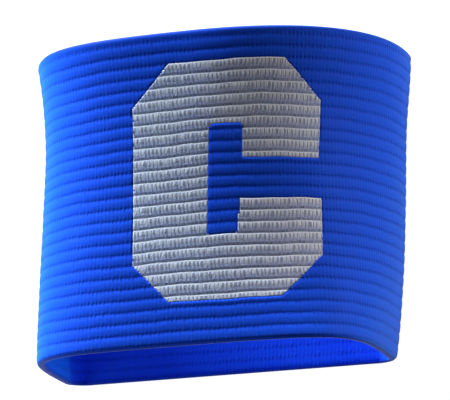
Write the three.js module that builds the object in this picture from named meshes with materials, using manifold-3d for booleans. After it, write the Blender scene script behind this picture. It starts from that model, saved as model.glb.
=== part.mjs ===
// A knitted elastic armband with a block letter C, lying on its side.
// The arm passes through it along Y, the letter faces up, and the cloth is flat where it rests on Z = 0.
// Lengths are in millimetres. "Down the band" means from its upper edge, at +Y, to its lower edge, at -Y.

import * as THREE from 'three';
import { mergeVertices } from 'three/addons/utils/BufferGeometryUtils.js';
import Module from 'manifold-3d';

// The band
const LENGTH = 90;
const WIDTH = 109.5;
const ARCH_RISE = 50;
const WAIST_HEIGHT = 7;
const REST_WIDTH = 88;
const WALL = 2.4;

// The ribs, which run round the band
const RIB_PITCH = 3.34;
const RIB_DEPTH = 0.4;
const GROOVE_WIDTH = 1.4;
const SELVEDGE = 0.5;

// The letter, which is let into the cloth flush with its face
const LETTER_WIDTH = 55.3;
const LETTER_SHIFT = 10.45;
const ABOVE_LETTER = 9.3;
const BELOW_LETTER = 12.2;
const LETTER_DEPTH = 1.1;
const FIT_GAP = 0.3;

// How finely the curved faces are divided
const ARCH_COLUMNS = 14;
const SIDE_COLUMNS = 5;
const FLOOR_COLUMNS = 4;
const INNER_ROWS = 8;
const LETTER_COLUMNS = 12;
const LETTER_ROWS = 3;

// How far the shapes that cut the cloth reach past what they cut
const CUT_PAST = 2;
// Points closer than this are one point
const WELD = 1e-4;

const BLUE = 0x0b2fb4;
const GREY = 0x9d9fa6;
const CLOTH_ROUGHNESS = 0.85;

// Sections of the band, seen along the arm. Each row is one station. The first and last rows lie
// past the band's edges and only steer how the cloth flares there.
//   down     place of the section, as a share of LENGTH from the upper edge
//   width    width at the waist, the widest line, as a share of WIDTH
//   lean     sideways place of the section's middle, as a share of WIDTH
//   rise     height of the arch above the waist, as a share of ARCH_RISE
//   leftUp   how far the left side rises straight before it bends over, as a share of that height
//   rightUp  the same for the right side
//   over     how far the top runs level before it bends down, as a share of half the width
const STATION_COLUMNS = ['down', 'width', 'lean', 'rise', 'leftUp', 'rightUp', 'over'];
const STATIONS = [
  [-0.25, 1.043, -0.031, 1.038, 0.948, 0.804, 0.727],
  [0.00, 1.000, 0.000, 1.000, 0.914, 0.557, 0.695],
  [0.25, 0.962, -0.003, 0.978, 0.900, 0.447, 0.699],
  [0.50, 0.958, -0.014, 0.970, 0.906, 0.472, 0.741],
  [0.75, 0.948, -0.026, 0.978, 0.933, 0.634, 0.821],
  [1.00, 0.914, -0.038, 1.000, 0.980, 0.932, 0.937],
  [1.25, 0.826, -0.048, 1.038, 1.047, 1.366, 1.091],
];

// How far the cloth drops straight below the waist, and runs level before it meets the floor,
// as shares of WAIST_HEIGHT and of the floor's distance from the waist
const SIDE_DROP = 0.6;
const SIDE_SPREAD = 0.35;

// The letter's outline. Rows go down it, and each holds a share of its height and the shares of its
// width where its left and right edges lie.
const LETTER_OUTLINE = [
  { down: 0.000, left: 0.192, right: 0.796 },
  { down: 0.170, left: 0.000, right: 0.987 },
  { down: 0.415, left: 0.008, right: 0.975 },
  { down: 0.585, left: 0.014, right: 0.991 },
  { down: 0.830, left: 0.020, right: 1.000 },
  { down: 1.000, left: 0.217, right: 0.796 },
];
// The open middle of the letter, in the same shares, and where the mouth at its right lies
const LETTER_COUNTER = [
  { down: 0.269, left: 0.401, right: 0.577 },
  { down: 0.732, left: 0.401, right: 0.563 },
];
const LETTER_MOUTH = { top: 0.415, bottom: 0.585 };

const manifold = await Module();
manifold.setup();

const stationTable = new THREE.CubicInterpolant(
  STATIONS.map((row) => row[0]),
  STATIONS.flat(),
  STATION_COLUMNS.length,
);

function stationAt(down) {
  const values = stationTable.evaluate(THREE.MathUtils.clamp(down / LENGTH, 0, 1));
  return Object.fromEntries(STATION_COLUMNS.map((name, index) => [name, values[index]]));
}

function bend(start, towards, from, end) {
  return new THREE.CubicBezierCurve(
    new THREE.Vector2(...start),
    new THREE.Vector2(...towards),
    new THREE.Vector2(...from),
    new THREE.Vector2(...end),
  );
}

// The five stretches of a section's outer face, clockwise from the left waist: the arch's left and
// right halves, the right side, the floor and the left side. Points are (x, z).
function sectionAt(down) {
  const station = stationAt(down);
  const half = (station.width * WIDTH) / 2;
  const middle = station.lean * WIDTH;
  const left = middle - half;
  const right = middle + half;
  const over = station.over * half;
  const rise = station.rise * ARCH_RISE;
  const top = WAIST_HEIGHT + rise;
  const restLeft = middle - REST_WIDTH / 2;
  const restRight = middle + REST_WIDTH / 2;
  const spread = SIDE_SPREAD * (right - restRight);
  const drop = WAIST_HEIGHT - SIDE_DROP * WAIST_HEIGHT;
  return {
    archLeft: bend(
      [left, WAIST_HEIGHT],
      [left, WAIST_HEIGHT + station.leftUp * rise],
      [middle - over, top],
      [middle, top],
    ),
    archRight: bend(
      [middle, top],
      [middle + over, top],
      [right, WAIST_HEIGHT + station.rightUp * rise],
      [right, WAIST_HEIGHT],
    ),
    sideRight: bend([right, WAIST_HEIGHT], [right, drop], [restRight + spread, 0], [restRight, 0]),
    floor: new THREE.LineCurve(new THREE.Vector2(restRight, 0), new THREE.Vector2(restLeft, 0)),
    sideLeft: bend([restLeft, 0], [restLeft - spread, 0], [left, drop], [left, WAIST_HEIGHT]),
  };
}

// A point at a place along a curve and at a lift above the cloth's inner face
function pointAbove(curve, share, lift, down) {
  const place = curve.getPointAt(share);
  const tangent = curve.getTangentAt(share);
  const inward = WALL - lift;
  const x = place.x + tangent.y * inward;
  const z = place.y - tangent.x * inward;
  return new THREE.Vector3(x, LENGTH / 2 - down, z);
}

const COLUMN_COUNTS = {
  archLeft: ARCH_COLUMNS,
  archRight: ARCH_COLUMNS,
  sideRight: SIDE_COLUMNS,
  floor: FLOOR_COLUMNS,
  sideLeft: SIDE_COLUMNS,
};

// The columns round one section, each with its curve and its place along that curve
function columnsAt(down) {
  const section = sectionAt(down);
  return Object.entries(COLUMN_COUNTS).flatMap(([name, count]) =>
    Array.from({ length: count }, (_, step) => ({ curve: section[name], share: step / count })));
}

// Distances of the grooves from the upper edge. Whole ribs end at the selvedge, so the first rib
// is what is left over.
function grooves() {
  const places = [];
  for (let down = LENGTH - SELVEDGE; down > GROOVE_WIDTH; down -= RIB_PITCH) places.unshift(down);
  return places;
}

// The wall cut along the arm: the plain inner face down the band, then the ribbed outer face back up
function wallProfile() {
  const low = WALL - RIB_DEPTH;
  const inner = Array.from({ length: INNER_ROWS + 1 }, (_, row) => (
    { down: (LENGTH * row) / INNER_ROWS, lift: 0 }));
  const ribs = grooves().flatMap((groove) => [
    { down: groove - GROOVE_WIDTH / 2, lift: WALL },
    { down: groove, lift: low },
    { down: groove + GROOVE_WIDTH / 2, lift: WALL },
  ]);
  const upperEdge = [{ down: 0, lift: low }, { down: GROOVE_WIDTH / 2, lift: WALL }];
  const lowerEdge = { down: LENGTH, lift: low };
  const outer = [...upperEdge, ...ribs.slice(0, -1), lowerEdge];
  return [...inner, ...outer.reverse(), inner[0]];
}

function solidFrom(geometry) {
  const bare = geometry.clone();
  bare.deleteAttribute('normal');
  bare.deleteAttribute('uv');
  const merged = mergeVertices(bare, WELD);
  return new manifold.Manifold(new manifold.Mesh({
    numProp: 3,
    vertProperties: new Float32Array(merged.attributes.position.array),
    triVerts: new Uint32Array(merged.index.array),
  }));
}

function meshFrom(solid, name, color) {
  const result = solid.getMesh();
  const geometry = new THREE.BufferGeometry();
  geometry.setAttribute('position', new THREE.BufferAttribute(new Float32Array(result.vertProperties), 3));
  geometry.setIndex(new THREE.BufferAttribute(new Uint32Array(result.triVerts), 1));
  geometry.computeVertexNormals();
  const material = new THREE.MeshStandardMaterial({ color, roughness: CLOTH_ROUGHNESS, metalness: 0 });
  const mesh = new THREE.Mesh(geometry, material);
  mesh.name = name;
  return mesh;
}

// The wall's profile is turned into a round hoop, then each of its points moves to its own section
function clothLoop() {
  const profile = wallProfile();
  const columnCount = columnsAt(0).length;
  const hoop = new THREE.LatheGeometry(
    profile.map(({ down, lift }) => new THREE.Vector2(WIDTH / 2 + lift, LENGTH / 2 - down)),
    columnCount,
  );
  const rows = profile.map(({ down }) => columnsAt(down));
  const position = hoop.attributes.position;
  for (let index = 0; index < position.count; index += 1) {
    const row = index % profile.length;
    const column = Math.floor(index / profile.length) % columnCount;
    const { down, lift } = profile[row];
    const { curve, share } = rows[row][column];
    const point = pointAbove(curve, share, lift, down);
    position.setXYZ(index, point.x, point.y, point.z);
  }
  return solidFrom(hoop);
}

// A point of the arch, at a distance round it from its middle line, positive to the right
function pointOnArch(round, down, lift) {
  const { archLeft, archRight } = sectionAt(down);
  if (round < 0) return pointAbove(archLeft, 1 + round / archLeft.getLength(), lift, down);
  return pointAbove(archRight, round / archRight.getLength(), lift, down);
}

// A block bent to the arch. Its rows go down the band, each with its left and right edges.
function bentBlock(rows, lowLift, highLift) {
  const block = new THREE.BoxGeometry(1, 1, 1, LETTER_COLUMNS, (rows.length - 1) * LETTER_ROWS, 1);
  const position = block.attributes.position;
  for (let index = 0; index < position.count; index += 1) {
    const across = position.getX(index) + 0.5;
    const place = (0.5 - position.getY(index)) * (rows.length - 1);
    const lower = Math.min(Math.floor(place), rows.length - 2);
    const part = place - lower;
    const down = THREE.MathUtils.lerp(rows[lower].down, rows[lower + 1].down, part);
    const left = THREE.MathUtils.lerp(rows[lower].left, rows[lower + 1].left, part);
    const right = THREE.MathUtils.lerp(rows[lower].right, rows[lower + 1].right, part);
    const lift = position.getZ(index) > 0 ? highLift : lowLift;
    const point = pointOnArch(THREE.MathUtils.lerp(left, right, across), down, lift);
    position.setXYZ(index, point.x, point.y, point.z);
  }
  return solidFrom(block);
}

// Knitted edges fall on a groove or on the middle of a rib
function nearestHalfRib(down) {
  const fromSelvedge = LENGTH - SELVEDGE - down;
  const halfRib = RIB_PITCH / 2;
  return LENGTH - SELVEDGE - Math.round(fromSelvedge / halfRib) * halfRib;
}

const letterTop = ABOVE_LETTER;
const letterHeight = LENGTH - ABOVE_LETTER - BELOW_LETTER;
const letterLeft = LETTER_SHIFT - LETTER_WIDTH / 2;
const letterDown = (share) => nearestHalfRib(letterTop + share * letterHeight);
const letterRound = (share) => letterLeft + share * LETTER_WIDTH;

// The letter as a solid that stands through the face of the cloth, with its outline grown outwards
function letterSolid(grow, lowLift) {
  const highLift = WALL + CUT_PAST;
  const outlineRows = LETTER_OUTLINE.map(({ down, left, right }, index) => ({
    down: letterDown(down) + (index < LETTER_OUTLINE.length / 2 ? -grow : grow),
    left: letterRound(left) - grow,
    right: letterRound(right) + grow,
  }));
  const counterRows = LETTER_COUNTER.map(({ down, left, right }, index) => ({
    down: letterDown(down) + (index === 0 ? grow : -grow),
    left: letterRound(left) + grow,
    right: letterRound(right) - grow,
  }));
  const counter = bentBlock(counterRows, lowLift - CUT_PAST, highLift + CUT_PAST);
  const mouthEdges = {
    left: (counterRows[0].left + counterRows[0].right) / 2,
    right: letterRound(1) + CUT_PAST,
  };
  const mouth = bentBlock(
    [
      { down: letterDown(LETTER_MOUTH.top) + grow, ...mouthEdges },
      { down: letterDown(LETTER_MOUTH.bottom) - grow, ...mouthEdges },
    ],
    lowLift - CUT_PAST,
    highLift + CUT_PAST,
  );
  return bentBlock(outlineRows, lowLift, highLift).subtract(counter).subtract(mouth);
}

const cloth = clothLoop();
const letter = cloth.intersect(letterSolid(-FIT_GAP / 2, WALL - LETTER_DEPTH));
const band = cloth.subtract(letterSolid(FIT_GAP / 2, WALL - LETTER_DEPTH - FIT_GAP));

const armband = new THREE.Group();
armband.name = 'captain_armband';
armband.add(meshFrom(band, 'band', BLUE));
armband.add(meshFrom(letter, 'letter', GREY));

export default armband;
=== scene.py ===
# A knitted elastic armband with a block letter C, lying on its side, with its ribs and stitches.
# Lengths are in millimetres where no comment says metres, and meshes are made in metres. "Down the
# band" means from its upper edge, at +Y, to its lower edge, at -Y. A wale is a line of stitches
# along the arm, and wales are numbered round the loop, clockwise as seen along +Y, from the left
# side's widest line.

import math

import bpy
import numpy as np
from mathutils import Matrix, Vector


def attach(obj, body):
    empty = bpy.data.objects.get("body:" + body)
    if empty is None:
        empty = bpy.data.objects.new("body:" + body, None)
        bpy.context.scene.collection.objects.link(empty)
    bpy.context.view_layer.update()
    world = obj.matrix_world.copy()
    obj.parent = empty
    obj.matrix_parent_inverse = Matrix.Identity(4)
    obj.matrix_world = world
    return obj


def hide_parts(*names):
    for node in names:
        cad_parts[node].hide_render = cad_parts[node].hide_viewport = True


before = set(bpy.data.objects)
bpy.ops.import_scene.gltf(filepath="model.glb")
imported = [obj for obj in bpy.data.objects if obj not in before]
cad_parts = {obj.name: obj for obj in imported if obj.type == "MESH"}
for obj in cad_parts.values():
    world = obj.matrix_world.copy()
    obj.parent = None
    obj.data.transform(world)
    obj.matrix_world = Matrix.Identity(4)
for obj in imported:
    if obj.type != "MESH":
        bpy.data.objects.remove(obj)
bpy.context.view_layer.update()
MM = 0.001

# The camera, where the photograph was taken from. Its place and its reach are in metres.
CAMERA_PLACE = Vector((0.1984, -0.1892, 0.8637))
CAMERA_FORWARD = Vector((-0.22343, 0.21677, -0.95031))
CAMERA_UP = Vector((0.08692, 0.97551, 0.20208))
CAMERA_LENS = 244.3
CAMERA_REACH = 20
SENSOR_WIDTH = 36

# Soft lamps: place and side length in metres, watts and colour
COOL, NEUTRAL = (0.80, 0.99, 1.25), (1.0, 1.0, 1.08)
LAMPS = {
    "left_above": ((-0.448, 0.775, 0.105), 0.3, 26.5, COOL),
    "left_below": ((-0.775, -0.448, 0.105), 0.3, 4.0, COOL),
    "left_high": ((-0.741, 0.428, 0.323), 0.3, 3.2, COOL),
    "above": ((0.000, 0.886, 0.105), 0.3, 9.5, NEUTRAL),
    "right": ((0.820, 0.365, 0.120), 0.3, 4.3, NEUTRAL),
}
# The place that the lamps face, and the floor's side length, both in metres
AIM = Vector((0, 0, 0.045))
FLOOR_SIZE = 6
WORLD_LIGHT = 0.01

# The band, as in the solids
LENGTH = 90
WIDTH = 109.5
ARCH_RISE = 50
WAIST_HEIGHT = 7
REST_WIDTH = 88
WALL = 2.4
# Distance from one rib to the next, and from the last groove to the lower edge
RIB_PITCH = 3.34
SELVEDGE = 0.5
# How far the cloth drops straight below the waist, and runs level before it meets the floor, as
# shares of WAIST_HEIGHT and of the floor's distance from the waist
SIDE_DROP = 0.6
SIDE_SPREAD = 0.35

# Sections of the band, seen along the arm. The first and last rows lie past the band's edges and
# only steer how the cloth flares there.
#   down     place of the section, as a share of LENGTH from the upper edge
#   width    width at the waist, the widest line, as a share of WIDTH
#   lean     sideways place of the section's middle, as a share of WIDTH
#   rise     height of the arch above the waist, as a share of ARCH_RISE
#   left_up  how far the left side rises straight before it bends over, as a share of that height
#   right_up the same for the right side
#   over     how far the top runs level before it bends down, as a share of half the width
STATION_STEP = 0.25
STATIONS = np.array([
    # down, width, lean, rise, left_up, right_up, over
    (-0.25, 1.043, -0.031, 1.038, 0.948, 0.804, 0.727),
    (0.00, 1.000, 0.000, 1.000, 0.914, 0.557, 0.695),
    (0.25, 0.962, -0.003, 0.978, 0.900, 0.447, 0.699),
    (0.50, 0.958, -0.014, 0.970, 0.906, 0.472, 0.741),
    (0.75, 0.948, -0.026, 0.978, 0.933, 0.634, 0.821),
    (1.00, 0.914, -0.038, 1.000, 0.980, 0.932, 0.937),
    (1.25, 0.826, -0.048, 1.038, 1.047, 1.366, 1.091),
])
# Points worked out along each stretch of a section
CURVE_STEPS = 240

# The letter, as in the solids. Its middle is shifted to the right along the cloth, and it lies in a
# recess of the band.
LETTER_WIDTH = 55.3
LETTER_SHIFT = 10.45
ABOVE_LETTER = 9.3
BELOW_LETTER = 12.2
LETTER_DEPTH = 1.1
LETTER_HEIGHT = LENGTH - ABOVE_LETTER - BELOW_LETTER
LETTER_OUTLINE = np.array([
    # share of the letter's height, then shares of its width at the left and right edges
    (0.000, 0.192, 0.796),
    (0.170, 0.000, 0.987),
    (0.415, 0.008, 0.975),
    (0.585, 0.014, 0.991),
    (0.830, 0.020, 1.000),
    (1.000, 0.217, 0.796),
])
# The counter, the hole inside, in the same columns, and the radius of its corners
LETTER_COUNTER = np.array([
    (0.269, 0.401, 0.577),
    (0.732, 0.401, 0.563),
])
COUNTER_CORNER = 1.4
# The gap that opens the counter to the right: shares of the letter's height at its top and bottom
LETTER_MOUTH = (0.415, 0.585)

# Wales on each stretch of the loop, and mesh columns for each wale
WALES = {"arch_left": 74, "arch_right": 71, "side_right": 11, "floor": 76, "side_left": 11}
COLUMNS_PER_WALE = {"arch_left": 2, "arch_right": 2, "side_right": 2, "floor": 1, "side_left": 2}
WALE_COUNT = sum(WALES.values())
ARCH_WALES = WALES["arch_left"] + WALES["arch_right"]

# The outer face of one rib, from the groove above it to the next
RIB_DEPTH = 0.17
RIB_SHAPE = [
    # share of the pitch, share of the depth
    (0.00, 1.00),
    (0.10, 0.55),
    (0.22, 0.18),
    (0.36, 0.00),
    (0.50, 0.00),
    (0.74, 0.12),
    (0.90, 0.58),
]
# The last groove is deeper than the others by this factor
LAST_GROOVE = 1.2

# The rounded edges: distance from the edge, and lift above the inner face. The upper one runs from
# the inner face to the outer, the lower one back again.
UPPER_EDGE = [
    (0.45, 0.0),
    (0.10, 0.2),
    (0.00, 0.75),
    (0.00, 1.3),
    (0.12, 1.8),
    (0.50, 2.2),
    (1.10, 2.4),
    (1.90, 2.3),
]
LOWER_EDGE = [
    (0.28, 1.92),
    (0.07, 1.75),
    (0.00, 1.35),
    (0.00, 0.75),
    (0.10, 0.2),
    (0.45, 0.0),
]

# The inner face: mesh rows and the height of their ribs
INNER_ROWS = 54
INNER_RIB_DEPTH = 0.25

# The relief of the band's stitches
STITCH_RELIEF = 0.035
# Added to a rib number where a mesh row lies in a groove, so that rounding can't place it above
GROOVE_NUDGE = 1e-6

# The ribs' slow drift along the arm
RIB_WANDER = 0.10
WANDER_WAVES = [
    # waves round the loop, turn along the arm in radians, phase, share of RIB_WANDER
    (7, 5, 0, 1.0),
    (13, -9, 1, 0.7),
    (29, 14, 2, 0.5),
]
# It fades out over one rib, half a rib from the edges
STILL_EDGE = 0.5
# Where the ribs sag towards the lower edge: by how much, then wale number and share of the length,
# each with the spread round it
SAG = 0.5
SAG_WALE, SAG_WALES = 46, 16
SAG_DOWN, SAG_LENGTH = 0.36, 0.30

# The letter's yarn: how far its face stands above the band, the share of that by which the edge of
# its underside stands above the band too, and the depth of its ribs as a share of the band's
LETTER_STAND = 0.015
EDGE_STAND = 0.25
LETTER_RIBS = 0.75
# Its underside sinks by so much for each mesh cell from the edge, down to the whole thickness
LETTER_SINK = 0.28
LETTER_THICKNESS = 0.6
# Its mesh has so many cells for each of the band's, both ways
LETTER_SPLIT = 2
# Its long stitches: the height of their relief, then the middle and reach, in shares of a rib, of
# the cords on a rib's upper half and of those on its lower half, which are lower by a factor
STROKE_RELIEF = 0.06
UPPER_CORDS = (0.3, 0.3)
LOWER_CORDS = (0.8, 0.2)
LOWER_CORD_HEIGHT = 0.8
# How far, in wales, an end of a letter row may be moved to the outline, and how many it eases over
OUTLINE_REACH = 1.2
EASE_WALES = 3

# Colours of the blue yarn: on a rib's crest; in the grooves, painted shade that is partly the
# yarn's own darker colour, which flecks use too; painted shade in the gaps between stitches and on
# the turned upper edge, which is partly the thin selvedge's darker colour; where it is worn; and
# painted shade on the bare lower rim. The last is the shine of its filaments.
BLUE_CREST = (0.0110, 0.0720, 0.655)
BLUE_GROOVE_SHADE_AND_FLECK = (0.0060, 0.0340, 0.440)
BLUE_DASH_SHADE = (0.0040, 0.0130, 0.200)
BLUE_WORN = (0.0160, 0.0900, 0.720)
BLUE_RIM_SHADE = (0.0020, 0.0200, 0.240)
BLUE_GLOSS = (0.01, 0.45, 1.0)
# The looks laid over the crest's colour, in this order. The grooves, the gaps between stitches, the
# turned upper edge and the lower rim are laid with painted shade; the grooves and the upper edge
# partly with the yarn's own darker colour.
BLUE_LAYERS = {
    # name: colour, strength
    "shaded_groove": (BLUE_GROOVE_SHADE_AND_FLECK, 0.50),
    "shaded_dash": (BLUE_DASH_SHADE, 0.20),
    "fleck": (BLUE_GROOVE_SHADE_AND_FLECK, 0.30),
    "worn": (BLUE_WORN, 0.35),
    "shaded_turned_edge": (BLUE_DASH_SHADE, 0.8),
    "shaded_rim": (BLUE_RIM_SHADE, 0.9),
}
# Soft steps, from their low end to their high end. Over shares of a rib: where the crest begins and
# ends. Over rib numbers: where the painted shade of the turned upper edge ends and, counted from the
# last groove, where the painted shade of the lower rim begins. Over values of a noise: flecks and
# worn patches.
CREST_BEGINS, CREST_ENDS = (0.02, 0.24), (0.66, 0.94)
TURNED_EDGE = (0.36, 0.62)
RIM_BEGINS = (0.06, 0.12)
BLUE_FLECKS, BLUE_PATCHES = (0.48, 0.72), (0.5, 0.75)
# Sheen of the yarn, and what the rim adds to it
BLUE_SHEEN, RIM_SHEEN = 0.35, -0.30
# Roughness: how much the tangled yarn adds, and the least
BLUE_ROUGHNESS = (0.16, 0.42)
# Heights of the stitches and of the fine yarn in the bump, then its distance in metres and strength
BLUE_STITCH_HEIGHT, BLUE_YARN_HEIGHT = 0.2, 0.6
BLUE_BUMP = (0.0002, 0.45)

# Colours of the letter's grey yarn: its long stitches, the cream line above them, painted shade in
# the gaps between them, which the tangle uses too, the lower half of a rib, the blue ground that
# shows through that half, and painted shade in the small holes there. The last is the shine of its
# filaments.
GREY_STROKE = (0.67, 0.66, 0.64)
GREY_CREAM = (0.72, 0.70, 0.63)
GREY_GAP_SHADE_AND_TANGLE = (0.20, 0.22, 0.32)
GREY_LOW = (0.54, 0.56, 0.65)
GREY_GROUND = (0.09, 0.14, 0.50)
GREY_HOLE_SHADE = (0.09, 0.11, 0.24)
GREY_GLOSS = (0.15, 0.35, 0.90)
# How strongly each look is laid over the ones before it
GROUND_STRENGTH, DULL_STRENGTH, GAP_STRENGTH = 0.50, 0.35, 0.75
LINE_STRENGTH, TANGLE_STRENGTH, PATCH_STRENGTH = 0.20, 0.30, 0.25
# Soft steps over shares of a rib: where the cream line ends and the gaps begin, where the holes
# begin and end, and where the strokes begin to end
LINE_ENDS, GAPS_BEGIN = (0.05, 0.15), (0.03, 0.14)
HOLES_BEGIN, HOLES_END = (0.66, 0.80), (0.92, 0.99)
STROKES_FADE = 0.38
# Pairs of a factor and an offset. A stitch's random number gives the place where its stroke has
# ended, how narrow the gap beside it is, and the strength of its hole. The strokes give the strength
# of the gaps, which go on more faintly below them.
STROKES_END = (0.18, 0.56)
GAP_NARROWING = (0.5, 0.15)
HOLE_STRENGTH = (0.4, 0.20)
GAPS_ALONG = (0.7, 0.3)
# Soft steps over a stitch's wave: across a hole, and the length of the step at a gap's sides
HOLE_SIDES, GAP_SOFTNESS = (0.25, 0.75), 0.45
# Soft steps over random numbers and noises: dull strokes, the ground, the tangle and the patches
DULL_STROKES, GREY_SHOW_THROUGH = (0.2, 1.0), (0.42, 0.62)
GREY_TANGLES, GREY_PATCHES = (0.45, 0.75), (0.5, 0.8)
GREY_SHEEN = 0.3
# Roughness and bump, as for the blue yarn
GREY_ROUGHNESS = (0.2, 0.5)
GREY_FUZZ_HEIGHT = 0.3
GREY_BUMP = (0.00025, 0.5)

# How far the stitches stray from their line, in wales, for each yarn, and how much farther the
# letter's strokes stray, rib by rib
BLUE_STRAY, GREY_STRAY = 0.5, 0.9
STROKE_STRAY = 0.7
SHEEN_ROUGHNESS = 0.5
BLUE_SPECULAR, GREY_SPECULAR = 0.03, 0.12

# Noises in the knit's coordinates: times finer across the wales and along them, scale and detail
STITCH_NOISE = (1.0, 1.0, 0.9, 1.0)
BLUE_TANGLE = (1.0, 2.2, 2.4, 3.0)
BLUE_FINE = (3.0, 4.0, 2.0, 3.0)
STROKE_NOISE = (1.3, 1.0, 1.5, 1.0)
GREY_TANGLE = (1.0, 3.0, 1.8, 3.0)
GREY_FUZZ = (2.0, 5.0, 1.6, 2.0)
# Noises in metres: scale and detail
BLUE_MOTTLE = (60.0, 3.0)
GREY_MOTTLE = (70.0, 2.0)

# The floor, whose own light makes it as white as the photograph's ground
FLOOR_GREY = (0.3, 0.3, 0.3)
WHITE = (1, 1, 1, 1)


def station_values(down):
    """The stations' smooth values at a distance down the band, a Catmull-Rom curve through them."""
    place = np.clip(down / LENGTH, 0, 1) / STATION_STEP
    first = int(np.clip(math.floor(place), 0, len(STATIONS) - 4))
    t = place - first
    before, start, end, after = STATIONS[first:first + 4]
    return 0.5 * (
        2 * start
        + (end - before) * t
        + (2 * before - 5 * start + 4 * end - after) * t**2
        + (3 * start - before - 3 * end + after) * t**3
    )


def stretch_corners(values):
    """The Bezier points of each stretch of one section's outer face, clockwise from the left waist."""
    _, width, lean, rise, left_up, right_up, over = values
    half = width * WIDTH / 2
    middle = lean * WIDTH
    left, right = middle - half, middle + half
    height = rise * ARCH_RISE
    top = WAIST_HEIGHT + height
    rest_left, rest_right = middle - REST_WIDTH / 2, middle + REST_WIDTH / 2
    rest_third = REST_WIDTH / 3
    spread = SIDE_SPREAD * (right - rest_right)
    drop = WAIST_HEIGHT * (1 - SIDE_DROP)
    level = over * half
    return {
        "arch_left": [
            (left, WAIST_HEIGHT),
            (left, WAIST_HEIGHT + left_up * height),
            (middle - level, top),
            (middle, top),
        ],
        "arch_right": [
            (middle, top),
            (middle + level, top),
            (right, WAIST_HEIGHT + right_up * height),
            (right, WAIST_HEIGHT),
        ],
        "side_right": [
            (right, WAIST_HEIGHT),
            (right, drop),
            (rest_right + spread, 0),
            (rest_right, 0),
        ],
        "floor": [
            (rest_right, 0),
            (rest_right - rest_third, 0),
            (rest_left + rest_third, 0),
            (rest_left, 0),
        ],
        "side_left": [
            (rest_left, 0),
            (rest_left - spread, 0),
            (left, drop),
            (left, WAIST_HEIGHT),
        ],
    }


def curve_points(corners):
    """Points along a cubic Bezier curve."""
    t = np.linspace(0, 1, CURVE_STEPS)[:, None]
    a, b, c, d = np.array(corners, float)
    return (1 - t) ** 3 * a + 3 * t * (1 - t) ** 2 * b + 3 * t**2 * (1 - t) * c + t**3 * d


class Section:
    """One section's outer face: points, tangents and distances round the loop, by wale number."""

    def __init__(self, down):
        self.down = down
        wale = 0
        points, tangents, wales, rounds = [], [], [], []
        for name, corners in stretch_corners(station_values(down)).items():
            line = curve_points(corners)
            step = np.linalg.norm(np.diff(line, axis=0), axis=1)
            along = np.concatenate([[0], np.cumsum(step)])
            points.append(line)
            tangent = np.gradient(line, axis=0)
            tangents.append(tangent / np.linalg.norm(tangent, axis=1)[:, None])
            wales.append(wale + WALES[name] * along / along[-1])
            rounds.append(along + (rounds[-1][-1] if rounds else 0))
            wale += WALES[name]
        middle = rounds[0][-1]
        self.wales = np.concatenate(wales)
        self.rounds = np.concatenate(rounds) - middle
        self.points = np.concatenate(points)
        self.tangents = np.concatenate(tangents)

    def at(self, wale, lift):
        """Places at wale numbers and lifts above the cloth's inner face."""
        x, z = (np.interp(wale, self.wales, self.points[:, k]) for k in range(2))
        tx, tz = (np.interp(wale, self.wales, self.tangents[:, k]) for k in range(2))
        inward = WALL - lift
        y = np.full_like(x, LENGTH / 2 - self.down)
        return np.stack([x + tz * inward, y, z - tx * inward], axis=1)

    def round_at(self, wale):
        """Distances round the loop from the arch's middle line, positive to the right."""
        return np.interp(wale, self.wales, self.rounds)


# Distances of the grooves from the upper edge. Whole ribs end at the selvedge, so the first rib is
# what is left over.
RIB_COUNT = int((LENGTH - SELVEDGE) // RIB_PITCH) + 1
FIRST_GROOVE = LENGTH - SELVEDGE - (RIB_COUNT - 1) * RIB_PITCH


def rib_number(down):
    """How many grooves lie above a place, counting part of a rib as a fraction."""
    return 1 + (np.asarray(down) - FIRST_GROOVE) / RIB_PITCH


def outer_rows():
    """(down, lift) of each mesh row of the ribs, from the upper edge to the lower."""
    rows = []
    for rib in range(RIB_COUNT - 1):
        for share, depth in RIB_SHAPE:
            rows.append((FIRST_GROOVE + (rib + share) * RIB_PITCH, WALL - depth * RIB_DEPTH))
    rows.append((LENGTH - SELVEDGE, WALL - RIB_DEPTH * LAST_GROOVE))
    return rows


def inner_rows():
    """(down, lift) of each mesh row of the inner face, from the lower edge to the upper."""
    low, high = UPPER_EDGE[0][0], LENGTH - LOWER_EDGE[-1][0]
    step = (high - low) / INNER_ROWS
    return [(high - row * step, INNER_RIB_DEPTH * (row % 2)) for row in range(1, INNER_ROWS)]


def column_wales():
    """The wale number of each mesh column."""
    wale = 0
    columns = []
    for name, count in WALES.items():
        steps = count * COLUMNS_PER_WALE[name]
        columns.extend(wale + np.arange(steps) / COLUMNS_PER_WALE[name])
        wale += count
    return np.array(columns)


OUTER_ROWS = outer_rows()
FRONT_ROWS = UPPER_EDGE + OUTER_ROWS + [(LENGTH - gap, lift) for gap, lift in LOWER_EDGE]
INNER_FACE_ROWS = inner_rows()
COLUMNS = column_wales()


def wander(wale, down):
    """The ribs' slow drift down the band. It closes round the loop."""
    turn = 2 * math.pi * wale / WALE_COUNT
    along = down / LENGTH
    waves = sum(
        share * np.sin(number * turn + slant * along + phase)
        for number, slant, phase, share in WANDER_WAVES
    )
    sag = np.exp(-(((wale - SAG_WALE) / SAG_WALES) ** 2) - ((along - SAG_DOWN) / SAG_LENGTH) ** 2)
    return RIB_WANDER * waves + SAG * sag


def edge_fade(down):
    """1 in the middle of the band and 0 at its two edges."""
    return np.clip(np.minimum(down, LENGTH - down) / RIB_PITCH - STILL_EDGE, 0, 1)


def front_place(section, wale, down, lift):
    """A row of places of the outer face, with the ribs' drift."""
    place = section.at(wale, lift)
    place[:, 1] -= wander(wale, down) * edge_fade(down)
    return place


def stitch_lift(wale, rib):
    """The stitches' relief: rows of loops that swap sides at half a rib."""
    share = rib - np.floor(rib)
    side = np.where(share < 0.5, 1.0, -1.0)
    return STITCH_RELIEF * side * np.cos(2 * math.pi * wale)


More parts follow.
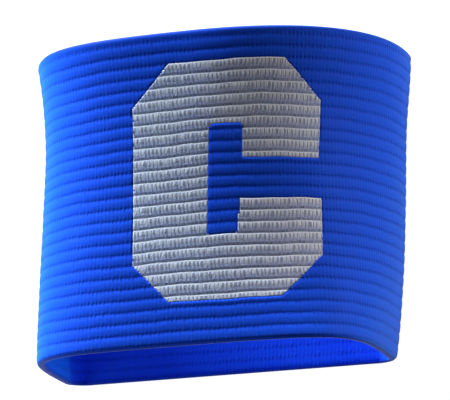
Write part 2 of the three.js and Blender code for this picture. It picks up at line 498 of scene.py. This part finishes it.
def stroke_lift(wale, rib):
    """The relief of the letter's long stitches: cords on the upper half of a rib, set off by half a
    wale on its lower half."""
    share = rib - np.floor(rib)
    upper, lower = (
        np.clip(1 - np.abs(share - middle) / reach, 0, 1)
        for middle, reach in (UPPER_CORDS, LOWER_CORDS)
    )
    cord = np.cos(2 * math.pi * wale)
    return STROKE_RELIEF * (upper * cord - LOWER_CORD_HEIGHT * lower * cord)


def letter_down(share):
    """Distances down the band at shares of the letter's height, on the nearest half ribs."""
    half = RIB_PITCH / 2
    from_selvedge = LENGTH - SELVEDGE - (ABOVE_LETTER + np.asarray(share) * LETTER_HEIGHT)
    return LENGTH - SELVEDGE - np.round(from_selvedge / half) * half


def letter_round(share):
    """Distances round the loop at shares of the letter's width."""
    return LETTER_SHIFT - LETTER_WIDTH / 2 + np.asarray(share) * LETTER_WIDTH


def inside_rows(table, round_place, down, corner=0):
    """Whether places lie between the left and right edges that a table's rows give, with corners
    rounded by a radius."""
    rows = letter_down(table[:, 0])
    past = corner - min(corner, down - rows[0], rows[-1] - down)
    inset = corner - math.sqrt(max(0, corner**2 - past**2))
    left = np.interp(down, rows, letter_round(table[:, 1])) + inset
    right = np.interp(down, rows, letter_round(table[:, 2])) - inset
    return (down > rows[0]) & (down < rows[-1]) & (round_place > left) & (round_place < right)


def in_letter(round_place, down):
    """Whether places lie on the letter's strokes."""
    counter = inside_rows(LETTER_COUNTER, round_place, down, COUNTER_CORNER)
    mouth_top, mouth_bottom = letter_down(LETTER_MOUTH)
    mouth_left = letter_round(LETTER_COUNTER[0, 1:].mean())
    mouth = (down > mouth_top) & (down < mouth_bottom) & (round_place > mouth_left)
    return inside_rows(LETTER_OUTLINE, round_place, down) & ~counter & ~mouth


def letter_cells():
    """For each cell of the front's grid, whether the letter's yarn lies there."""
    cells = np.zeros((len(FRONT_ROWS) - 1, len(COLUMNS)), bool)
    middles = np.append(COLUMNS[1:], WALE_COUNT) / 2 + COLUMNS / 2
    on_arch = middles < ARCH_WALES
    for row in range(len(FRONT_ROWS) - 1):
        down = (FRONT_ROWS[row][0] + FRONT_ROWS[row + 1][0]) / 2
        place = Section(down).round_at(middles)
        cells[row] = on_arch & in_letter(place, down)
    return cells


LETTER_CELLS = letter_cells()


def make_object(name, points, faces, uvs, material):
    """A mesh object, with the knit's coordinates on a map named knit."""
    mesh = bpy.data.meshes.new(name)
    mesh.from_pydata((np.asarray(points) * MM).tolist(), [], faces)
    layer = mesh.uv_layers.new(name="knit")
    layer.data.foreach_set("uv", np.concatenate([np.asarray(u, float).ravel() for u in uvs]))
    mesh.polygons.foreach_set("use_smooth", [True] * len(mesh.polygons))
    mesh.materials.append(material)
    mesh.validate()
    made = bpy.data.objects.new(name, mesh)
    bpy.context.collection.objects.link(made)
    return made


def recess_points():
    """The points of the front's grid whose four cells are all the letter's."""
    both = LETTER_CELLS & np.roll(LETTER_CELLS, 1, axis=1)
    inside = np.zeros((both.shape[0] + 1, both.shape[1]), bool)
    inside[1:-1] = both[1:] & both[:-1]
    return inside


def front_points():
    """The rows of points of the band's outer face and edges."""
    recess = recess_points()
    rib_rows = range(len(UPPER_EDGE), len(UPPER_EDGE) + len(OUTER_ROWS))
    points = []
    for row, (down, lift) in enumerate(FRONT_ROWS):
        lifts = np.full(len(COLUMNS), float(lift))
        if row in rib_rows:
            relief = stitch_lift(COLUMNS, rib_number(down) + GROOVE_NUDGE)
            lifts += np.where(COLUMNS < ARCH_WALES, relief, 0)
        lifts[recess[row]] -= LETTER_DEPTH
        points.append(front_place(Section(down), COLUMNS, down, lifts))
    return points


def ring_faces(first, wales, ribs):
    """Faces between rings of points, numbered from first, and their knit coordinates."""
    count = len(wales)
    faces, uvs = [], []
    for row, (rib, next_rib) in enumerate(zip(ribs, ribs[1:])):
        base = first + row * count
        for column in range(count):
            after = (column + 1) % count
            here, there = wales[column], wales[after] if after else WALE_COUNT
            faces.append((base + column, base + after, base + count + after, base + count + column))
            uvs.append(((here, rib), (there, rib), (there, next_rib), (here, next_rib)))
    return faces, uvs


def closing_faces(first, last, ribs, inner_ribs):
    """Faces that close the edges between the outer face and the inner one, whose first and last
    rings start at the given numbers. One inner column spans all the outer columns of its wale."""
    count = len(COLUMNS)
    starts = [int(start) for start in np.searchsorted(COLUMNS, range(WALE_COUNT))] + [count]
    low_ring = (len(FRONT_ROWS) - 1) * count
    faces, uvs = [], []
    for column in range(WALE_COUNT):
        after = (column + 1) % WALE_COUNT
        span = list(range(starts[column], starts[column + 1] + 1))
        spots = [COLUMNS[k] if k < count else WALE_COUNT for k in span]
        low_corners = tuple(low_ring + k % count for k in span)
        faces.append(low_corners + (first + after, first + column))
        low_uvs = tuple((spot, ribs[-1]) for spot in spots)
        uvs.append(low_uvs + ((column + 1, inner_ribs[0]), (column, inner_ribs[0])))
        high_corners = tuple(k % count for k in reversed(span))
        faces.append(high_corners + (last + column, last + after))
        high_uvs = tuple((spot, ribs[0]) for spot in reversed(spots))
        uvs.append(high_uvs + ((column, inner_ribs[-1]), (column + 1, inner_ribs[-1])))
    return faces, uvs


def build_band(material):
    points = front_points()
    first_inner = len(FRONT_ROWS) * len(COLUMNS)
    last_inner = first_inner + (len(INNER_FACE_ROWS) - 1) * WALE_COUNT
    # The inner face has a column for each wale
    inner_wales = np.arange(WALE_COUNT, dtype=float)
    for down, lift in INNER_FACE_ROWS:
        points.append(Section(down).at(inner_wales, np.full(WALE_COUNT, float(lift))))
    ribs = [float(rib_number(down)) for down, _ in FRONT_ROWS]
    inner_ribs = [float(rib_number(down)) for down, _ in INNER_FACE_ROWS]
    faces, uvs = [], []
    for made_faces, made_uvs in (
        ring_faces(0, COLUMNS, ribs),
        ring_faces(first_inner, inner_wales, inner_ribs),
        closing_faces(first_inner, last_inner, ribs, inner_ribs),
    ):
        faces += made_faces
        uvs += made_uvs
    return make_object("band_knit", np.concatenate(points), faces, uvs, material)


def fit_to_outline(wales, chosen, down):
    """One row of the letter's wale numbers, eased so that its ends lie on the letter's outline."""
    section = Section(down)
    fitted = wales.copy()
    rows = letter_down(LETTER_OUTLINE[:, 0])
    ends = np.flatnonzero(chosen)[[0, -1]]
    for column, end in zip((1, 2), ends):
        edge = np.interp(down, rows, letter_round(LETTER_OUTLINE[:, column]))
        target = np.interp(edge, section.rounds, section.wales)
        if abs(target - wales[end]) < OUTLINE_REACH:
            near = np.clip(1 - np.abs(wales - wales[end]) / EASE_WALES, 0, 1)
            fitted += (target - wales[end]) * near
    return fitted


def used_span(used):
    """The first and last numbers that are used."""
    numbers = np.flatnonzero(used)
    return numbers[0], numbers[-1] + 1


def wholly_inside(inside):
    """The points whose eight neighbours are inside too."""
    height, width = inside.shape
    grown = np.pad(inside, 1)
    deeper = np.ones_like(inside)
    for i in range(3):
        for j in range(3):
            deeper &= grown[i:i + height, j:j + width]
    return deeper


def letter_faces(cells, number, wales, ribs):
    """Faces of the letter's top, underside and sides, and their knit coordinates. The points of the
    underside are numbered after all those of the top."""
    total = int((number >= 0).sum())
    height, width = cells.shape
    faces, uvs = [], []

    def add(corners, spots):
        faces.append(tuple(int(c) for c in corners))
        uvs.append(tuple(spots))

    # Each side of a cell: the neighbour's step down and across, and the corners at its two ends
    sides = [(-1, 0, 0, 1), (0, 1, 1, 2), (1, 0, 2, 3), (0, -1, 3, 0)]
    for i, j in zip(*np.nonzero(cells)):
        quad = [(i, j), (i, j + 1), (i + 1, j + 1), (i + 1, j)]
        spots = [(wales[a, b], ribs[a]) for a, b in quad]
        ids = [number[a, b] for a, b in quad]
        add(ids, spots)
        add([n + total for n in reversed(ids)], reversed(spots))
        for down, across, a, b in sides:
            ni, nj = i + down, j + across
            if 0 <= ni < height and 0 <= nj < width and cells[ni, nj]:
                continue
            corners = [ids[b], ids[a], ids[a] + total, ids[b] + total]
            add(corners, [spots[b], spots[a], spots[a], spots[b]])
    return faces, uvs


def build_letter(material):
    split = LETTER_SPLIT
    cells = np.repeat(np.repeat(LETTER_CELLS, split, axis=0), split, axis=1)
    first_row, last_row = used_span(cells.any(axis=1))
    first_column, last_column = used_span(cells.any(axis=0))
    cells = cells[first_row:last_row, first_column:last_column]
    rows = np.arange(first_row, last_row + 1) / split
    columns = np.arange(first_column, last_column + 1) / split
    front_downs, front_lifts = zip(*FRONT_ROWS)
    downs = np.interp(rows, np.arange(len(FRONT_ROWS)), front_downs)
    lifts = np.interp(rows, np.arange(len(FRONT_ROWS)), front_lifts)
    wales = np.tile(np.interp(columns, np.arange(len(COLUMNS)), COLUMNS), (len(rows), 1))
    # The four cells round each point give its number and how many cells deep it lies in the letter
    padded = np.pad(cells, 1)
    around = [padded[1:, 1:], padded[:-1, 1:], padded[1:, :-1], padded[:-1, :-1]]
    inside = np.logical_and.reduce(around)
    touched = np.logical_or.reduce(around)
    depth = inside.astype(int) + wholly_inside(inside)
    number = np.full(touched.shape, -1)
    number[touched] = np.arange(touched.sum())
    top, under = [], []
    for i, (down, lift) in enumerate(zip(downs, lifts)):
        chosen = touched[i]
        wales[i] = fit_to_outline(wales[i], chosen, down)
        wale = wales[i][chosen]
        section = Section(down)
        base = WALL - LETTER_RIBS * (WALL - lift)
        relief = stroke_lift(wale, float(rib_number(down)) + GROOVE_NUDGE)
        face = base + LETTER_STAND + relief * np.minimum(depth[i][chosen], 1)
        top.append(front_place(section, wale, down, face))
        sink = np.minimum(LETTER_SINK * depth[i][chosen], LETTER_THICKNESS)
        under.append(front_place(section, wale, down, lift + EDGE_STAND * LETTER_STAND - sink))
    faces, uvs = letter_faces(cells, number, wales, rib_number(downs))
    return make_object("letter_knit", np.concatenate(top + under), faces, uvs, material)


class Nodes:
    """Short calls for making a material's nodes."""

    def __init__(self, name):
        self.material = bpy.data.materials.new(name)
        self.material.use_nodes = True
        self.tree = self.material.node_tree
        self.shader = self.tree.nodes["Principled BSDF"]

    def put(self, socket, value):
        if isinstance(value, bpy.types.NodeSocket):
            self.tree.links.new(value, socket)
        elif socket.type == "RGBA":
            socket.default_value = (*value[:3], 1)
        else:
            socket.default_value = value

    def shade(self, **values):
        """Sets the shader's inputs, whose names are written with _ for a space."""
        for name, value in values.items():
            self.put(self.shader.inputs[name.replace("_", " ")], value)

    def math(self, operation, *values):
        node = self.tree.nodes.new("ShaderNodeMath")
        node.operation = operation
        for index, value in enumerate(values):
            self.put(node.inputs[index], value)
        return node.outputs[0]

    def product(self, value, *others):
        for other in others:
            value = self.math("MULTIPLY", value, other)
        return value

    def scaled(self, value, factor, offset):
        return self.math("MULTIPLY_ADD", value, factor, offset)

    def flip(self, value):
        """1 for 0 and 0 for 1."""
        return self.math("SUBTRACT", 1.0, value)

    def steps(self, value, low, high):
        """0 below low and 1 above high, smooth between."""
        node = self.tree.nodes.new("ShaderNodeMapRange")
        node.interpolation_type = "SMOOTHSTEP"
        for name, item in (("Value", value), ("From Min", low), ("From Max", high)):
            self.put(node.inputs[name], item)
        return node.outputs["Result"]

    def wave(self, value):
        """1 at whole numbers and 0 halfway between."""
        shaded_turned_edge = self.math("MULTIPLY", value, 2 * math.pi)
        return self.scaled(self.math("COSINE", shaded_turned_edge), 0.5, 0.5)

    def mix(self, share, first, second):
        """A colour between two others. Inputs 6 and 7 and output 2 of the node are for colours."""
        node = self.tree.nodes.new("ShaderNodeMix")
        node.data_type = "RGBA"
        for index, value in ((0, share), (6, first), (7, second)):
            self.put(node.inputs[index], value)
        return node.outputs[2]

    def lay(self, colour, share, strength, added):
        """A colour with another laid over it."""
        return self.mix(self.math("MULTIPLY", share, strength), colour, added)

    def vector(self, x, y):
        node = self.tree.nodes.new("ShaderNodeCombineXYZ")
        self.put(node.inputs[0], x)
        self.put(node.inputs[1], y)
        return node.outputs[0]

    def noise(self, vector, scale, detail):
        node = self.tree.nodes.new("ShaderNodeTexNoise")
        for name, value in (("Scale", scale), ("Detail", detail), ("Vector", vector)):
            self.put(node.inputs[name], value)
        return node.outputs[0]

    def knit_noise(self, wale, rib, across, along, scale, detail):
        """Noise in the knit's coordinates, so many times finer across the wales and along them."""
        place = self.vector(self.math("MULTIPLY", wale, across), self.math("MULTIPLY", rib, along))
        return self.noise(place, scale, detail)

    def mottle(self, scale, detail):
        """Noise in metres."""
        place = self.tree.nodes.new("ShaderNodeTexCoord").outputs["Object"]
        return self.noise(place, scale, detail)

    def stitch_chance(self, wale, rib):
        """A random number for each stitch."""
        node = self.tree.nodes.new("ShaderNodeTexWhiteNoise")
        node.noise_dimensions = "3D"
        self.put(node.inputs["Vector"], self.vector(self.math("FLOOR", wale), self.math("FLOOR", rib)))
        return node.outputs["Value"]

    def stray(self, wale, noise, reach):
        """Wale numbers moved to either side by a noise."""
        return self.math("ADD", wale, self.math("MULTIPLY", self.math("SUBTRACT", noise, 0.5), reach))

    def knit(self, reach):
        """The wale number with each stitch a little out of line, the rib number and its fraction."""
        uv = self.tree.nodes.new("ShaderNodeUVMap")
        uv.uv_map = "knit"
        parts = self.tree.nodes.new("ShaderNodeSeparateXYZ")
        self.put(parts.inputs[0], uv.outputs[0])
        wale, rib = parts.outputs[0], parts.outputs[1]
        wale = self.stray(wale, self.knit_noise(wale, rib, *STITCH_NOISE), reach)
        return wale, rib, self.math("FRACT", rib)

    def bump(self, height, distance, strength):
        node = self.tree.nodes.new("ShaderNodeBump")
        for name, value in (("Height", height), ("Distance", distance), ("Strength", strength)):
            self.put(node.inputs[name], value)
        self.put(self.shader.inputs["Normal"], node.outputs[0])


def blue_material():
    nodes = Nodes("blue_knit")
    wale, rib, share = nodes.knit(BLUE_STRAY)
    between = nodes.wave(nodes.math("ADD", wale, 0.5))
    # Painted shade in the grooves between ribs, partly the yarn's own darker colour
    before_crest = nodes.flip(nodes.steps(share, *CREST_BEGINS))
    shaded_groove = nodes.math("MAXIMUM", nodes.steps(share, *CREST_ENDS), before_crest)
    # Painted shade in the gaps between stitches along the grooves
    shaded_dash = nodes.product(shaded_groove, between, nodes.stitch_chance(wale, rib))
    tangle = nodes.knit_noise(wale, rib, *BLUE_TANGLE)
    # Painted shade on the lower rim, where the sheen is lowered too
    shaded_rim = nodes.steps(rib, *(RIB_COUNT + past for past in RIM_BEGINS))
    looks = {
        "shaded_groove": shaded_groove,
        "shaded_dash": shaded_dash,
        "fleck": nodes.steps(tangle, *BLUE_FLECKS),
        "worn": nodes.steps(nodes.mottle(*BLUE_MOTTLE), *BLUE_PATCHES),
        # Painted shade on the rounded upper edge, partly the thin selvedge's darker colour
        "shaded_turned_edge": nodes.flip(nodes.steps(rib, *TURNED_EDGE)),
        "shaded_rim": shaded_rim,
    }
    colour = BLUE_CREST
    for name, (added, strength) in BLUE_LAYERS.items():
        colour = nodes.lay(colour, looks[name], strength, added)
    nodes.shade(
        Base_Color=colour,
        Roughness=nodes.scaled(tangle, *BLUE_ROUGHNESS),
        Specular_IOR_Level=BLUE_SPECULAR,
        Sheen_Weight=nodes.scaled(shaded_rim, RIM_SHEEN, BLUE_SHEEN),
        Sheen_Roughness=SHEEN_ROUGHNESS,
        Sheen_Tint=BLUE_GLOSS,
    )
    fine = nodes.knit_noise(wale, rib, *BLUE_FINE)
    stitches = nodes.math("MULTIPLY", nodes.wave(wale), BLUE_STITCH_HEIGHT)
    height = nodes.math("ADD", stitches, nodes.math("MULTIPLY", fine, BLUE_YARN_HEIGHT))
    nodes.bump(nodes.math("SUBTRACT", height, shaded_dash), *BLUE_BUMP)
    return nodes.material


def grey_material():
    nodes = Nodes("grey_knit")
    wale, rib, share = nodes.knit(GREY_STRAY)
    stroke_noise = nodes.knit_noise(wale, nodes.math("FLOOR", rib), *STROKE_NOISE)
    wale = nodes.stray(wale, stroke_noise, STROKE_STRAY)
    beside = nodes.math("ADD", wale, 0.5)
    on_stroke = nodes.stitch_chance(beside, rib)
    on_gap = nodes.stitch_chance(wale, rib)
    tangle = nodes.knit_noise(wale, rib, *GREY_TANGLE)
    fuzz = nodes.knit_noise(wale, rib, *GREY_FUZZ)
    # The long stitches, which cover a rib down to a place that chance sets
    low = nodes.lay(GREY_LOW, nodes.steps(fuzz, *GREY_SHOW_THROUGH), GROUND_STRENGTH, GREY_GROUND)
    yarn = nodes.lay(GREY_STROKE, nodes.steps(on_stroke, *DULL_STROKES), DULL_STRENGTH, GREY_LOW)
    upper = nodes.flip(nodes.steps(share, STROKES_FADE, nodes.scaled(on_stroke, *STROKES_END)))
    colour = nodes.mix(upper, low, yarn)
    # The painted shade in the gaps between them
    low_end = nodes.scaled(on_gap, *GAP_NARROWING)
    across_gap = nodes.steps(nodes.wave(beside), low_end, nodes.math("ADD", low_end, GAP_SOFTNESS))
    along_gap = nodes.product(nodes.steps(share, *GAPS_BEGIN), nodes.scaled(upper, *GAPS_ALONG))
    shaded_gaps = nodes.product(across_gap, along_gap, GAP_STRENGTH)
    colour = nodes.mix(shaded_gaps, colour, GREY_GAP_SHADE_AND_TANGLE)
    # The painted shade in the small holes below them
    across_hole = nodes.steps(nodes.wave(wale), *HOLE_SIDES)
    before_end = nodes.flip(nodes.steps(share, *HOLES_END))
    along_hole = nodes.product(nodes.steps(share, *HOLES_BEGIN), before_end)
    shaded_holes = nodes.product(across_hole, along_hole, nodes.scaled(on_stroke, *HOLE_STRENGTH))
    colour = nodes.mix(shaded_holes, colour, GREY_HOLE_SHADE)
    # The cream line above them, the tangle of the yarn and the patches
    line = nodes.flip(nodes.steps(share, *LINE_ENDS))
    colour = nodes.lay(colour, line, LINE_STRENGTH, GREY_CREAM)
    colour = nodes.lay(colour, nodes.steps(tangle, *GREY_TANGLES), TANGLE_STRENGTH, GREY_GAP_SHADE_AND_TANGLE)
    patches = nodes.steps(nodes.mottle(*GREY_MOTTLE), *GREY_PATCHES)
    colour = nodes.lay(colour, patches, PATCH_STRENGTH, GREY_CREAM)
    nodes.shade(
        Base_Color=colour,
        Roughness=nodes.scaled(tangle, *GREY_ROUGHNESS),
        Specular_IOR_Level=GREY_SPECULAR,
        Sheen_Weight=GREY_SHEEN,
        Sheen_Roughness=SHEEN_ROUGHNESS,
        Sheen_Tint=GREY_GLOSS,
    )
    height = nodes.flip(nodes.math("ADD", shaded_gaps, shaded_holes))
    height = nodes.math("ADD", height, nodes.math("MULTIPLY", fuzz, GREY_FUZZ_HEIGHT))
    nodes.bump(height, *GREY_BUMP)
    return nodes.material


def floor_material():
    nodes = Nodes("pale_floor")
    nodes.shade(
        Base_Color=FLOOR_GREY,
        Roughness=0.9,
        Specular_IOR_Level=0.1,
        Emission_Color=WHITE,
        Emission_Strength=1.0,
    )
    return nodes.material


def add_camera():
    data = bpy.data.cameras.new("camera")
    data.lens = CAMERA_LENS
    data.sensor_width = SENSOR_WIDTH
    data.clip_end = CAMERA_REACH
    camera = bpy.data.objects.new("camera", data)
    bpy.context.collection.objects.link(camera)
    forward = CAMERA_FORWARD.normalized()
    right = forward.cross(CAMERA_UP).normalized()
    up = right.cross(forward)
    turn = Matrix((right, up, -forward)).transposed().to_4x4()
    camera.matrix_world = Matrix.Translation(CAMERA_PLACE) @ turn
    bpy.context.scene.camera = camera


def add_light():
    for name, (place, size, watts, colour) in LAMPS.items():
        data = bpy.data.lights.new(name, "AREA")
        data.size = size
        data.energy = watts
        data.color = colour
        lamp = bpy.data.objects.new(name, data)
        bpy.context.collection.objects.link(lamp)
        lamp.location = place
        lamp.rotation_mode = "QUATERNION"
        lamp.rotation_quaternion = (AIM - Vector(place)).to_track_quat("-Z", "Y")
    world = bpy.data.worlds.new("studio")
    world.use_nodes = True
    background = world.node_tree.nodes["Background"]
    background.inputs["Color"].default_value = WHITE
    background.inputs["Strength"].default_value = WORLD_LIGHT
    bpy.context.scene.world = world


def add_floor():
    mesh = bpy.data.meshes.new("floor")
    half = FLOOR_SIZE / 2
    corners = [(-half, -half, 0), (half, -half, 0), (half, half, 0), (-half, half, 0)]
    mesh.from_pydata(corners, [], [(0, 1, 2, 3)])
    mesh.materials.append(floor_material())
    made = bpy.data.objects.new("floor", mesh)
    bpy.context.collection.objects.link(made)


add_camera()
band = build_band(blue_material())
letter = build_letter(grey_material())
for piece, node, slot in ((band, "band", "blue_knit"), (letter, "letter", "grey_knit")):
    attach(piece, "root")
    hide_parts(node)
add_light()
add_floor()
bpy.context.scene.view_settings.view_transform = "Standard"
